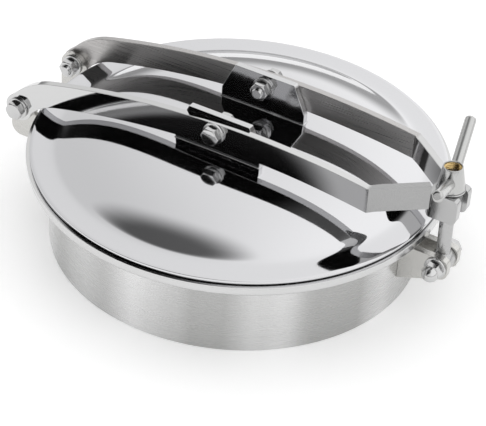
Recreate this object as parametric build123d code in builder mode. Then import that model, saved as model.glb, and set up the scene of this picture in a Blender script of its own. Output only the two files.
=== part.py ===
"""Round tank manway cover: a flanged neck, a domed lid hung between two arms, and a swing bolt clamp.

Millimetres. The origin is the centre of the neck's bottom edge. +Z is up and +X runs from the
hinge to the clamp. Front is the -Y side.
"""
import math
import os

from build123d import *

os.makedirs("parts", exist_ok=True)

# Neck and rim ring
neck_diameter = 400.0
neck_wall = 3.0
neck_height = 80.0
hub_wall = 4.0
hub_height = 8.0
hub_fillet = 6.0
ring_overhang = 4.0
ring_thickness = 12.0
ring_lower_round = 4.5
bead_height = 1.8
bead_depth = 0.7
groove_inset = 7.0
groove_width = 10.0
groove_depth = 4.0

# Lid
lid_seat_width = 7.0
lid_thickness = 3.4
lid_gap = 1.2
lid_rim_width = 27.0
dome_rise = 26.4
dome_fillet = 22.0
lid_edge_round = 1.2

# Arms, cut from flat bar that stands on edge
arm_thickness = 8.0
arm_height = 28.0
arm_inner_face = 51.0
arm_apex_x = 37.5
arm_apex_z = 157.0
arm_sweep_radius = 950.0
arm_neck_radius = 77.0
arm_eye_radius = 16.0
arm_eye_inner_blend = 8.0
arm_eye_outer_blend = 30.0
arm_bend_inset = 45.6
arm_bend_angle = 39.0
arm_tail_z = 148.0
arm_end_lap = 3.5

# Hinge
hinge_standoff = 18.0
hinge_z = 96.5
hinge_lug_thickness = 6.0
hinge_lug_radius = 15.0
hinge_lug_foot_z = 55.0
hinge_lug_foot_round = 12.0

# Lid lugs on the dome, half an octagon each
lid_pivot_z = 159.0
lid_lug_thickness = 7.6
lid_lug_top_z = 174.0
lid_lug_top_length = 71.0
lid_lug_base_length = 100.0
lid_lug_corner_z = 142.0

# Fasteners: M12 bolts with hexagon heads
bolt_diameter = 12.0
hex_across_flats = 18.0
hex_head_height = 8.0
hex_nut_height = 10.0
washer_diameter = 24.0
washer_thickness = 2.5
bolt_overhang = 3.6

# Swing bolt clamp
pin_standoff = 16.3
pin_z = 65.0
clamp_lug_thickness = 8.0
clamp_lug_top_height = 12.0
clamp_lug_end_drop = 10.5
clamp_lug_overhang = 13.0
clamp_lug_taper = 20.6
clamp_lug_round = 8.0
clamp_gap = 17.0
bolt_lean = 1.7
eye_diameter = 24.0
shank_diameter = 14.7
fork_slot = 16.4
fork_plate = 9.0
fork_web = 10.6
fork_back_offset = 21.3
fork_length = 35.0
fork_bottom_z = 123.5
fork_top_z = 152.5
fork_corner_round = 6.0
fork_side_round = 6.0

# Hand nut
thrust_washer_diameter = 30.0
thrust_washer_thickness = 2.0
boss_bottom_diameter = 29.2
boss_top_diameter = 20.4
boss_height = 25.2
insert_diameter = 17.6
insert_recess = 1.6
bolt_end_recess = 7.0
rod_diameter = 12.0
rod_reach = 79.3
rod_elevation = 23.3
rod_azimuth = 101.6
rod_root_height = 5.5
rod_end_round = 3.0

# Clearances
seat_gap = 0.3
side_gap = 0.3
running_gap = 0.06

# Worked-out sizes
neck_radius = neck_diameter / 2
neck_bore_radius = neck_radius - neck_wall
ring_bore_radius = neck_radius - hub_wall
groove_inner_radius = ring_bore_radius + groove_inset
groove_outer_radius = groove_inner_radius + groove_width
lid_radius = groove_outer_radius + lid_seat_width
ring_radius = lid_radius + ring_overhang
ring_bottom_z = neck_height + hub_height
ring_top_z = ring_bottom_z + ring_thickness
lid_under_z = ring_top_z + lid_gap
lid_top_z = lid_under_z + lid_thickness
dome_radius = lid_radius - lid_rim_width
dome_sphere_radius = (dome_radius**2 + dome_rise**2) / (2 * dome_rise)
hinge_x = -(ring_radius + hinge_standoff)
pin_x = ring_radius + pin_standoff
arm_outer_face = arm_inner_face + arm_thickness
bolt_radius = bolt_diameter / 2
pivot_bore_radius = bolt_radius + running_gap
lug_outer_face = arm_inner_face - side_gap
head_seat = arm_outer_face + side_gap + washer_thickness
clamp_half_gap = clamp_gap / 2
fork_half_width = fork_slot / 2 + fork_plate
fork_back_x = pin_x - fork_back_offset
fork_front_x = fork_back_x + fork_length
arm_bend_x = lid_radius - arm_bend_inset
arm_end_x = fork_back_x + arm_end_lap
crown_radius = fork_top_z - pin_z
washer_seat_height = crown_radius + seat_gap
nut_height = washer_seat_height + thrust_washer_thickness + seat_gap
bolt_length = nut_height + boss_height - bolt_end_recess


# ---------------------------------------------------------------- neck and rim

# Rolled and welded sheet, butt-welded to the hub of the ring above it
with BuildPart() as neck_shell:
    with BuildSketch(Plane.XY):
        Circle(neck_radius)
        Circle(neck_bore_radius, mode=Mode.SUBTRACT)
    extrude(amount=neck_height)
neck_shell.part.label = "neck_shell"
export_step(neck_shell.part, "parts/neck_shell.step")

# Turned ring: hub, flange with a beaded outer band and a gasket groove in its top
with BuildPart() as rim_ring:
    with BuildSketch(Plane.XZ):
        with BuildLine():
            Polyline(
                (neck_radius, ring_bottom_z),
                (neck_radius, neck_height),
                (ring_bore_radius, neck_height),
                (ring_bore_radius, ring_top_z),
                (groove_inner_radius, ring_top_z),
                (groove_inner_radius, ring_top_z - groove_depth),
                (groove_outer_radius, ring_top_z - groove_depth),
                (groove_outer_radius, ring_top_z),
                (ring_radius, ring_top_z),
                (ring_radius, ring_top_z - bead_height),
                (ring_radius - bead_depth, ring_top_z - bead_height - bead_depth),
                (ring_radius - bead_depth, ring_bottom_z),
                close=True,
            )
        ring_face = make_face()
        fillet(ring_face.vertices().sort_by_distance((neck_radius, ring_bottom_z))[0], hub_fillet)
        lower_corner = (ring_radius - bead_depth, ring_bottom_z)
        fillet(vertices().sort_by_distance(lower_corner)[0], ring_lower_round)
    revolve(axis=Axis.Z)
rim_ring.part.label = "rim_ring"
export_step(rim_ring.part, "parts/rim_ring.step")

# Square-section seal bedded in the groove, standing just clear of the lid
with BuildPart() as gasket:
    with BuildSketch(Plane.XY.offset(ring_top_z - groove_depth)):
        Circle(groove_outer_radius)
        Circle(groove_inner_radius, mode=Mode.SUBTRACT)
    extrude(amount=groove_depth + lid_gap - seat_gap)
gasket.part.label = "gasket"
export_step(gasket.part, "parts/gasket.step")


# ------------------------------------------------------------------------- lid

# Pressed disc: flat rim and a shallow spherical dome, one sheet thick
with BuildPart() as lid:
    with BuildSketch(Plane.XZ):
        with BuildLine():
            Line((0, lid_under_z + dome_rise), (0, lid_top_z + dome_rise))
            RadiusArc((0, lid_top_z + dome_rise), (dome_radius, lid_top_z), dome_sphere_radius)
            Polyline(
                (dome_radius, lid_top_z),
                (lid_radius, lid_top_z),
                (lid_radius, lid_under_z),
                (dome_radius, lid_under_z),
            )
            RadiusArc((dome_radius, lid_under_z), (0, lid_under_z + dome_rise), -dome_sphere_radius)
        make_face()
        fillet(vertices().sort_by_distance((dome_radius, lid_top_z))[0], dome_fillet)
        fillet(
            vertices().sort_by_distance((dome_radius, lid_under_z))[0],
            dome_fillet + lid_thickness,
        )
        fillet(vertices().sort_by_distance((lid_radius, lid_top_z))[0], lid_edge_round)
    revolve(axis=Axis.Z)
lid.part.label = "lid"
export_step(lid.part, "parts/lid.step")

# Plate welded on the dome, half an octagon, with its foot cut to the dome's curve
with BuildPart() as lid_lug_front:
    with BuildSketch(Plane.XZ.offset(lug_outer_face - lid_lug_thickness)):
        with BuildLine():
            Polyline(
                (-lid_lug_base_length / 2, lid_top_z),
                (-lid_lug_base_length / 2, lid_lug_corner_z),
                (-lid_lug_top_length / 2, lid_lug_top_z),
                (lid_lug_top_length / 2, lid_lug_top_z),
                (lid_lug_base_length / 2, lid_lug_corner_z),
                (lid_lug_base_length / 2, lid_top_z),
                close=True,
            )
        make_face()
        with Locations((0, lid_pivot_z)):
            Circle(bolt_radius, mode=Mode.SUBTRACT)
    extrude(amount=lid_lug_thickness)
    with BuildSketch(Plane.XZ):
        with BuildLine():
            Line((0, 0), (0, lid_top_z + dome_rise))
            RadiusArc((0, lid_top_z + dome_rise), (dome_radius, lid_top_z), dome_sphere_radius)
            Line((dome_radius, lid_top_z), (dome_radius, 0))
            Line((dome_radius, 0), (0, 0))
        make_face()
    revolve(axis=Axis.Z, mode=Mode.SUBTRACT)
lid_lug_front.part.label = "lid_lug_front"
export_step(lid_lug_front.part, "parts/lid_lug_front.step")

with BuildPart() as lid_lug_back:
    mirror(lid_lug_front.part, about=Plane.XZ)
lid_lug_back.part.label = "lid_lug_back"
export_step(lid_lug_back.part, "parts/lid_lug_back.step")


# ------------------------------------------------------------------------ arms

# The bar's middle line is one long arc over the lid and a tighter arc down to the hinge.
# The tight arc's centre is tangent to the long one and one neck radius from the hinge.
sweep_centre = Vector(arm_apex_x, arm_apex_z - arm_sweep_radius)
hinge_point = Vector(hinge_x, hinge_z)
to_hinge = hinge_point - sweep_centre
centre_distance = arm_sweep_radius - arm_neck_radius
along = (centre_distance**2 - arm_neck_radius**2 + to_hinge.length**2) / (2 * to_hinge.length)
across = math.sqrt(centre_distance**2 - along**2)
hinge_direction = to_hinge.normalized()
neck_centre = (
    sweep_centre
    + hinge_direction * along
    + Vector(hinge_direction.Y, -hinge_direction.X) * across
)
tangent_direction = (neck_centre - sweep_centre).normalized()
tangent_angle = math.degrees(math.atan2(tangent_direction.Y, tangent_direction.X))
end_direction = hinge_point - neck_centre
end_angle = math.degrees(math.atan2(end_direction.Y, end_direction.X))

# Seen from above, the bar turns in at the bend and ends square to its own direction
bend_cos = math.cos(math.radians(arm_bend_angle))
bend_sin = math.sin(math.radians(arm_bend_angle))
tail_length = (arm_end_x - arm_bend_x) / bend_cos
arm_middle = arm_inner_face + arm_thickness / 2
arm_end_y = arm_middle - tail_length * bend_sin


def sweep_point(radius, x):
    """The point at x on a circle about the long arc's centre."""
    return (x, sweep_centre.Y + math.sqrt(radius**2 - (x - sweep_centre.X) ** 2))


def neck_point(radius, angle):
    """The point at an angle on a circle about the tight arc's centre."""
    return (
        neck_centre.X + radius * math.cos(math.radians(angle)),
        neck_centre.Y + radius * math.sin(math.radians(angle)),
    )


with BuildPart() as arm_front:
    with BuildSketch(Plane.XZ):
        middle_angle = (end_angle + tangent_angle) / 2
        outer = arm_height / 2
        tail_end_x = arm_end_x + arm_thickness
        with BuildLine():
            ThreePointArc(
                neck_point(arm_neck_radius + outer, end_angle),
                neck_point(arm_neck_radius + outer, middle_angle),
                neck_point(arm_neck_radius + outer, tangent_angle),
            )
            ThreePointArc(
                neck_point(arm_neck_radius + outer, tangent_angle),
                sweep_point(arm_sweep_radius + outer, arm_apex_x),
                sweep_point(arm_sweep_radius + outer, arm_bend_x),
            )
            Polyline(
                sweep_point(arm_sweep_radius + outer, arm_bend_x),
                (arm_bend_x + arm_thickness, arm_tail_z + outer),
                (tail_end_x, arm_tail_z + outer),
                (tail_end_x, arm_tail_z - outer),
                (arm_bend_x + arm_thickness, arm_tail_z - outer),
                sweep_point(arm_sweep_radius - outer, arm_bend_x),
            )
            ThreePointArc(
                sweep_point(arm_sweep_radius - outer, arm_bend_x),
                sweep_point(arm_sweep_radius - outer, arm_apex_x),
                neck_point(arm_neck_radius - outer, tangent_angle),
            )
            ThreePointArc(
                neck_point(arm_neck_radius - outer, tangent_angle),
                neck_point(arm_neck_radius - outer, middle_angle),
                neck_point(arm_neck_radius - outer, end_angle),
            )
            Line(
                neck_point(arm_neck_radius - outer, end_angle),
                neck_point(arm_neck_radius + outer, end_angle),
            )
        make_face()
        with Locations((hinge_x, hinge_z)):
            Circle(arm_eye_radius)
        inner_notch = neck_point(arm_neck_radius - outer, end_angle)
        fillet(vertices().sort_by_distance(inner_notch)[0], arm_eye_inner_blend)
        outer_notch = neck_point(arm_neck_radius + outer, end_angle)
        fillet(vertices().sort_by_distance(outer_notch)[0], arm_eye_outer_blend)
        with Locations((hinge_x, hinge_z)):
            Circle(pivot_bore_radius, mode=Mode.SUBTRACT)
        with Locations((0, lid_pivot_z)):
            Circle(pivot_bore_radius, mode=Mode.SUBTRACT)
    extrude(amount=arm_outer_face)
    with BuildSketch(Plane.XY):
        with BuildLine() as bar_middle:
            Polyline(
                (hinge_x - 2 * arm_eye_radius, -arm_middle),
                (arm_bend_x, -arm_middle),
                (arm_end_x, -arm_end_y),
            )
        trace(line_width=arm_thickness)
    extrude(amount=2 * arm_apex_z, mode=Mode.INTERSECT)
arm_front.part.label = "arm_front"
export_step(arm_front.part, "parts/arm_front.step")

with BuildPart() as arm_back:
    mirror(arm_front.part, about=Plane.XZ)
arm_back.part.label = "arm_back"
export_step(arm_back.part, "parts/arm_back.step")


# ------------------------------------------------------------------ clamp fork

# Slotted block that both arms are welded to. Its top is crowned about the pivot pin, so
# that the washer and nut can swing over it, and its back corners face the arms' square ends.
corner_run = (arm_end_x - fork_back_x) * bend_cos / bend_sin
corner_y = arm_end_y - corner_run
corner_side_x = arm_end_x + (fork_half_width - arm_end_y) * bend_sin / bend_cos


def crown_point(x):
    """The point at x on the fork's crown, a circle about the pivot pin."""
    return (x, pin_z + math.sqrt(crown_radius**2 - (x - pin_x) ** 2))


with BuildPart() as clamp_fork:
    with BuildSketch(Plane.XZ):
        with BuildLine():
            ThreePointArc(
                crown_point(fork_back_x), crown_point(pin_x), crown_point(fork_front_x)
            )
            Polyline(
                crown_point(fork_front_x),
                (fork_front_x, fork_bottom_z),
                (fork_back_x, fork_bottom_z),
                crown_point(fork_back_x),
            )
        make_face()
        front_corners = vertices().sort_by(Axis.X)[-2:]
        fillet(front_corners, fork_corner_round)
    extrude(amount=fork_half_width, both=True)
    with BuildSketch(Plane.XY):
        with BuildLine():
            Polyline(
                (fork_front_x, -fork_half_width),
                (fork_front_x, fork_half_width),
                (corner_side_x, fork_half_width),
                (fork_back_x, corner_y),
                (fork_back_x, -corner_y),
                (corner_side_x, -fork_half_width),
                close=True,
            )
        make_face()
        side_corners = vertices().sort_by(Axis.X)[2:4]
        fillet(side_corners, fork_side_round)
    extrude(amount=fork_top_z, mode=Mode.INTERSECT)
    with BuildSketch(Plane.XY):
        with BuildLine():
            slot_centre_x = fork_back_x + fork_web + fork_slot / 2
            Polyline(
                (slot_centre_x, fork_slot / 2),
                (fork_front_x, fork_slot / 2),
                (fork_front_x, -fork_slot / 2),
                (slot_centre_x, -fork_slot / 2),
            )
            ThreePointArc(
                (slot_centre_x, -fork_slot / 2),
                (slot_centre_x - fork_slot / 2, 0),
                (slot_centre_x, fork_slot / 2),
            )
        make_face()
    extrude(amount=fork_top_z, mode=Mode.SUBTRACT)
clamp_fork.part.label = "clamp_fork"
export_step(clamp_fork.part, "parts/clamp_fork.step")


# --------------------------------------------------------------------- hinge

# Plate with a rounded top at the hinge bolt. It passes outside the ring and under it to the neck.
with BuildPart() as hinge_lug_front:
    with BuildSketch(Plane.XZ.offset(lug_outer_face - hinge_lug_thickness)):
        lug_left = hinge_x - hinge_lug_radius
        lug_right = hinge_x + hinge_lug_radius
        with BuildLine():
            ThreePointArc(
                (lug_left, hinge_z), (hinge_x, hinge_z + hinge_lug_radius), (lug_right, hinge_z)
            )
            Polyline(
                (lug_right, hinge_z),
                (lug_right, ring_bottom_z),
                (0, ring_bottom_z),
                (0, hinge_lug_foot_z),
                (lug_left, hinge_lug_foot_z),
                (lug_left, hinge_z),
            )
        make_face()
        foot_corner = (lug_left, hinge_lug_foot_z)
        fillet(vertices().sort_by_distance(foot_corner)[0], hinge_lug_foot_round)
        with Locations((hinge_x, hinge_z)):
            Circle(bolt_radius, mode=Mode.SUBTRACT)
    extrude(amount=hinge_lug_thickness)
    with BuildSketch(Plane.XY):
        Circle(neck_radius)
    extrude(amount=ring_top_z, mode=Mode.SUBTRACT)
    add(rim_ring.part, mode=Mode.SUBTRACT)
hinge_lug_front.part.label = "hinge_lug_front"
export_step(hinge_lug_front.part, "parts/hinge_lug_front.step")

with BuildPart() as hinge_lug_back:
    mirror(hinge_lug_front.part, about=Plane.XZ)
hinge_lug_back.part.label = "hinge_lug_back"
export_step(hinge_lug_back.part, "parts/hinge_lug_back.step")


# ----------------------------------------------------- pivot bolts, washers, nuts


def pivot_bolt(x, z, lug_thickness):
    """A hexagon bolt through the front arm and the lug inside it, with its end past the nut."""
    end = lug_outer_face - lug_thickness - washer_thickness - hex_nut_height - bolt_overhang
    with BuildPart() as bolt:
        with BuildSketch(Plane.XZ.offset(end)):
            with Locations((x, z)):
                Circle(bolt_radius)
        extrude(amount=head_seat - end)
        with BuildSketch(Plane.XZ.offset(head_seat)):
            with Locations((x, z)):
                RegularPolygon(hex_across_flats / 2, 6, major_radius=False)
        extrude(amount=hex_head_height)
    return bolt.part


def pivot_washer(x, z, face):
    """A plain washer whose inner side lies at that distance in front of the middle plane."""
    with BuildPart() as washer:
        with BuildSketch(Plane.XZ.offset(face)):
            with Locations((x, z)):
                Circle(washer_diameter / 2)
                Circle(bolt_radius, mode=Mode.SUBTRACT)
        extrude(amount=washer_thickness)
    return washer.part


def lug_nut(x, z, lug_thickness):
    """A hexagon nut on the washer of a front lug."""
    seat = lug_outer_face - lug_thickness - washer_thickness
    with BuildPart() as nut:
        with BuildSketch(Plane.XZ.offset(seat - hex_nut_height)):
            with Locations((x, z)):
                RegularPolygon(hex_across_flats / 2, 6, major_radius=False)
                Circle(bolt_radius, mode=Mode.SUBTRACT)
        extrude(amount=hex_nut_height)
    return nut.part


with BuildPart() as hinge_bolt_front:
    add(pivot_bolt(hinge_x, hinge_z, hinge_lug_thickness))
hinge_bolt_front.part.label = "hinge_bolt_front"
export_step(hinge_bolt_front.part, "parts/hinge_bolt_front.step")

with BuildPart() as hinge_bolt_back:
    mirror(hinge_bolt_front.part, about=Plane.XZ)
hinge_bolt_back.part.label = "hinge_bolt_back"
export_step(hinge_bolt_back.part, "parts/hinge_bolt_back.step")

with BuildPart() as hinge_washers:
    add(pivot_washer(hinge_x, hinge_z, lug_outer_face - hinge_lug_thickness - washer_thickness))
    add(pivot_washer(hinge_x, hinge_z, head_seat - washer_thickness))
    mirror(about=Plane.XZ)
hinge_washers.part.label = "hinge_washers"
export_step(hinge_washers.part, "parts/hinge_washers.step")

with BuildPart() as hinge_nuts:
    add(lug_nut(hinge_x, hinge_z, hinge_lug_thickness))
    mirror(about=Plane.XZ)
hinge_nuts.part.label = "hinge_nuts"
export_step(hinge_nuts.part, "parts/hinge_nuts.step")

with BuildPart() as lid_bolt_front:
    add(pivot_bolt(0, lid_pivot_z, lid_lug_thickness))
lid_bolt_front.part.label = "lid_bolt_front"
export_step(lid_bolt_front.part, "parts/lid_bolt_front.step")

with BuildPart() as lid_bolt_back:
    mirror(lid_bolt_front.part, about=Plane.XZ)
lid_bolt_back.part.label = "lid_bolt_back"
export_step(lid_bolt_back.part, "parts/lid_bolt_back.step")

with BuildPart() as lid_washers:
    add(pivot_washer(0, lid_pivot_z, lug_outer_face - lid_lug_thickness - washer_thickness))
    add(pivot_washer(0, lid_pivot_z, head_seat - washer_thickness))
    mirror(about=Plane.XZ)
lid_washers.part.label = "lid_washers"
export_step(lid_washers.part, "parts/lid_washers.step")

with BuildPart() as lid_nuts:
    add(lug_nut(0, lid_pivot_z, lid_lug_thickness))
    mirror(about=Plane.XZ)
lid_nuts.part.label = "lid_nuts"
export_step(lid_nuts.part, "parts/lid_nuts.step")


# ------------------------------------------------------------- clamp lugs and pin

# Plate from the neck wall out past the pivot pin, tapering along its lower edge
lug_end_x = pin_x + clamp_lug_overhang
lug_top_z = pin_z + clamp_lug_top_height
lug_end_z = pin_z - clamp_lug_end_drop
lug_length = lug_end_x - neck_bore_radius
lug_root_z = lug_end_z - lug_length * math.tan(math.radians(clamp_lug_taper))
with BuildPart() as clamp_lug_front:
    with BuildSketch(Plane.XZ.offset(clamp_half_gap)):
        with BuildLine():
            Polyline(
                (neck_bore_radius, lug_top_z),
                (lug_end_x, lug_top_z),
                (lug_end_x, lug_end_z),
                (neck_bore_radius, lug_root_z),
                close=True,
            )
        make_face()
        fillet(vertices().sort_by(Axis.X)[-2:], clamp_lug_round)
        with Locations((pin_x, pin_z)):
            Circle(bolt_radius, mode=Mode.SUBTRACT)
    extrude(amount=clamp_lug_thickness)
    with BuildSketch(Plane.XY):
        Circle(neck_radius)
    extrude(amount=ring_top_z, mode=Mode.SUBTRACT)
clamp_lug_front.part.label = "clamp_lug_front"
export_step(clamp_lug_front.part, "parts/clamp_lug_front.step")

with BuildPart() as clamp_lug_back:
    mirror(clamp_lug_front.part, about=Plane.XZ)
clamp_lug_back.part.label = "clamp_lug_back"
export_step(clamp_lug_back.part, "parts/clamp_lug_back.step")

# Headed pin from the back, closed by a cap nut in front
clamp_outer_face = clamp_half_gap + clamp_lug_thickness
cap_seat = clamp_outer_face + washer_thickness
pin_end = cap_seat + hex_nut_height
with BuildPart() as clamp_pin:
    with BuildSketch(Plane.XZ.offset(-cap_seat)):
        with Locations((pin_x, pin_z)):
            Circle(bolt_radius)
    extrude(amount=cap_seat + pin_end)
    with BuildSketch(Plane.XZ.offset(-cap_seat - hex_head_height)):
        with Locations((pin_x, pin_z)):
            RegularPolygon(hex_across_flats / 2, 6, major_radius=False)
    extrude(amount=hex_head_height)
clamp_pin.part.label = "clamp_pin"
export_step(clamp_pin.part, "parts/clamp_pin.step")

with BuildPart() as clamp_washers:
    with BuildSketch(Plane.XZ.offset(clamp_outer_face)):
        with Locations((pin_x, pin_z)):
            Circle(washer_diameter / 2)
            Circle(bolt_radius, mode=Mode.SUBTRACT)
    extrude(amount=washer_thickness)
    mirror(about=Plane.XZ)
clamp_washers.part.label = "clamp_washers"
export_step(clamp_washers.part, "parts/clamp_washers.step")

# Cap nut: a hexagon with a domed end over the pin
with BuildPart() as cap_nut:
    with BuildSketch(Plane.XZ.offset(cap_seat)):
        with Locations((pin_x, pin_z)):
            RegularPolygon(hex_across_flats / 2, 6, major_radius=False)
    extrude(amount=hex_nut_height)
    dome_base = cap_seat + hex_nut_height
    with BuildSketch(Plane.YZ.offset(pin_x)):
        with BuildLine():
            Line((-dome_base, pin_z), (-dome_base, pin_z + hex_across_flats / 2))
            RadiusArc(
                (-dome_base, pin_z + hex_across_flats / 2),
                (-dome_base - hex_across_flats / 2, pin_z),
                -hex_across_flats / 2,
            )
            Line((-dome_base - hex_across_flats / 2, pin_z), (-dome_base, pin_z))
        make_face()
    revolve(axis=Axis((pin_x, 0, pin_z), (0, 1, 0)))
    add(clamp_pin.part, mode=Mode.SUBTRACT)
cap_nut.part.label = "cap_nut"
export_step(cap_nut.part, "parts/cap_nut.step")


# -------------------------------------------------------------------- swing bolt

# Eye bolt: a flat-sided eye on the pin and a shank up through the fork and nut. When the lid
# is clamped the bolt leans in towards it, so the washer and nut are set square to its axis.
eye_width = clamp_gap - 2 * side_gap
lean_cos = math.cos(math.radians(bolt_lean))
lean_sin = math.sin(math.radians(bolt_lean))
bolt_base = Plane(
    origin=(pin_x, 0, pin_z), x_dir=(lean_cos, 0, lean_sin), z_dir=(-lean_sin, 0, lean_cos)
)
with BuildPart() as swing_bolt:
    with BuildSketch(Plane.XZ.offset(-eye_width / 2)):
        with Locations((pin_x, pin_z)):
            Circle(eye_diameter / 2)
    extrude(amount=eye_width)
    with BuildSketch(bolt_base):
        Circle(shank_diameter / 2)
    extrude(amount=bolt_length)
    with BuildSketch(Plane.XZ.offset(-eye_width / 2)):
        with Locations((pin_x, pin_z)):
            Circle(pivot_bore_radius)
    extrude(amount=eye_width, mode=Mode.SUBTRACT)
swing_bolt.part.label = "swing_bolt"
export_step(swing_bolt.part, "parts/swing_bolt.step")


# ---------------------------------------------------------------------- hand nut

thread_radius = shank_diameter / 2 + running_gap
with BuildPart() as thrust_washer:
    with BuildSketch(bolt_base.offset(washer_seat_height)):
        Circle(thrust_washer_diameter / 2)
        Circle(thread_radius, mode=Mode.SUBTRACT)
    extrude(amount=thrust_washer_thickness)
thrust_washer.part.label = "thrust_washer"
export_step(thrust_washer.part, "parts/thrust_washer.step")

# Tapered boss, bored through for the threaded bush
nut_base = bolt_base.offset(nut_height)
with BuildPart() as nut_boss:
    with BuildSketch(nut_base):
        Circle(boss_bottom_diameter / 2)
    with BuildSketch(nut_base.offset(boss_height)):
        Circle(boss_top_diameter / 2)
    loft()
    with BuildSketch(nut_base):
        Circle(insert_diameter / 2)
    extrude(amount=boss_height, mode=Mode.SUBTRACT)
nut_boss.part.label = "nut_boss"
export_step(nut_boss.part, "parts/nut_boss.step")

with BuildPart() as brass_insert:
    with BuildSketch(nut_base):
        Circle(insert_diameter / 2)
        Circle(thread_radius, mode=Mode.SUBTRACT)
    extrude(amount=boss_height - insert_recess)
brass_insert.part.label = "brass_insert"
export_step(brass_insert.part, "parts/brass_insert.step")

# Two round rods welded to the boss, opposite each other and both rising outward
rod_start = insert_diameter / 2
rise_cos = math.cos(math.radians(rod_elevation))
rise_sin = math.sin(math.radians(rod_elevation))
for number, azimuth in ((1, rod_azimuth), (2, rod_azimuth + 180)):
    heading = (
        nut_base.x_dir * (rise_cos * math.cos(math.radians(azimuth)))
        + nut_base.y_dir * (rise_cos * math.sin(math.radians(azimuth)))
        + nut_base.z_dir * rise_sin
    )
    root = nut_base.origin + nut_base.z_dir * rod_root_height + heading * rod_start
    with BuildPart() as handle_rod:
        with BuildSketch(Plane(origin=root, z_dir=heading)):
            Circle(rod_diameter / 2)
        extrude(amount=rod_reach - rod_start)
        fillet(edges().sort_by_distance(root)[-1], rod_end_round)
        with BuildSketch(nut_base):
            Circle(boss_bottom_diameter / 2)
        with BuildSketch(nut_base.offset(boss_height)):
            Circle(boss_top_diameter / 2)
        loft(mode=Mode.SUBTRACT)
    handle_rod.part.label = f"handle_rod_{number}"
    export_step(handle_rod.part, f"parts/handle_rod_{number}.step")
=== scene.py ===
"""Looks of a round tank manway cover: domed lid, two arms, hinge and swing bolt clamp."""
import math

import bmesh
import bpy
import numpy as np
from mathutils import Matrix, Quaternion, Vector


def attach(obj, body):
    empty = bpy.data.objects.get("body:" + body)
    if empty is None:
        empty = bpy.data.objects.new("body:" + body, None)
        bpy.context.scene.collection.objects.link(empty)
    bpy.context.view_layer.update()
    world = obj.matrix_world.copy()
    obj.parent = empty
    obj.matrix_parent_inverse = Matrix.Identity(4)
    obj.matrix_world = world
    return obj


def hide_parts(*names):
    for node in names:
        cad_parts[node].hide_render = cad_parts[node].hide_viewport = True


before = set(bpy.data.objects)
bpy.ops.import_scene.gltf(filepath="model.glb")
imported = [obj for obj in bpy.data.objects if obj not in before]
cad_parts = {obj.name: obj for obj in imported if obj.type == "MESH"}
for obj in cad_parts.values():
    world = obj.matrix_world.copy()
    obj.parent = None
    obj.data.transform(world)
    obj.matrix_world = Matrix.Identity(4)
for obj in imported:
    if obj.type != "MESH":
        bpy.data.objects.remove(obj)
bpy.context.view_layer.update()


# ---------------------------------------------------------------- neck
# The neck is rolled from 3 mm 304 stainless sheet and welded along one seam. It keeps its mill
# brushing, which runs round it. Its soft upright bands are painted reflection in its base
# colour.
def linear_colour(code):
    """An sRGB hex colour as linear red, green, blue and alpha."""
    parts = [int(code[i : i + 2], 16) / 255 for i in (0, 2, 4)]
    linear = [c / 12.92 if c <= 0.04045 else ((c + 0.055) / 1.055) ** 2.4 for c in parts]
    return (*linear, 1.0)


def add_node(tree, kind, inputs=None, **settings):
    """Adds a shader node, applies its settings, and sets or links its inputs."""
    node = tree.nodes.new(kind)
    for name, value in settings.items():
        setattr(node, name, value)
    for key, value in (inputs or {}).items():
        if isinstance(value, bpy.types.NodeSocket):
            tree.links.new(value, node.inputs[key])
        else:
            node.inputs[key].default_value = value
    return node


def start_finish(name, metallic):
    """A new material with its node tree, its Principled shader and the Object coordinates."""
    finish = bpy.data.materials.new(name)
    finish.use_nodes = True
    tree = finish.node_tree
    shader = tree.nodes["Principled BSDF"]
    shader.inputs["Metallic"].default_value = metallic
    place = add_node(tree, "ShaderNodeTexCoord").outputs["Object"]
    return finish, tree, shader, place


def dress(node, finish):
    """Puts a finish on every material slot of a CAD node."""
    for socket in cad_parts[node].material_slots:
        socket.material = finish


# Nearly all of a noise's values lie in this span
NOISE_SPAN = {"From Min": 0.3, "From Max": 0.7}
# Brush lines 0.7 mm apart and 0.3 m long. Real ones are finer and wouldn't show
BRUSH_LINES_PER_METRE = 1400.0
BRUSH_LENGTHS_PER_METRE = 3.0
# Bands of painted reflection about 90 mm wide, which hardly change up the wall, and where they
# start round it
PAINTED_BANDS_PER_METRE = 11.0
PAINTED_BAND_HEIGHTS_PER_METRE = 0.4
PAINTED_BAND_START = (5.7, 2.2, 0.0)

# Mill-brushed sheet is a dull satin grey, with lighter bands of painted reflection and a hair
# of lines round it
brushed_304, tree, shader, place = start_finish("brushed_304_stainless_sheet", 1.0)
stretch = add_node(
    tree,
    "ShaderNodeMapping",
    {
        "Vector": place,
        "Scale": (BRUSH_LENGTHS_PER_METRE, BRUSH_LENGTHS_PER_METRE, BRUSH_LINES_PER_METRE),
    },
)
lines = add_node(
    tree,
    "ShaderNodeTexNoise",
    {"Vector": stretch.outputs["Vector"], "Scale": 1.0, "Detail": 3.0},
)
painted_band_coords = add_node(
    tree,
    "ShaderNodeMapping",
    {
        "Vector": place,
        "Scale": (PAINTED_BANDS_PER_METRE, PAINTED_BANDS_PER_METRE, PAINTED_BAND_HEIGHTS_PER_METRE),
        "Location": PAINTED_BAND_START,
    },
)
# Painted reflection: a broad noise that sets where the upright bands fall round the neck
painted_reflection_bands = add_node(
    tree,
    "ShaderNodeTexNoise",
    {"Vector": painted_band_coords.outputs["Vector"], "Scale": 1.0, "Detail": 1.5},
)
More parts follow.
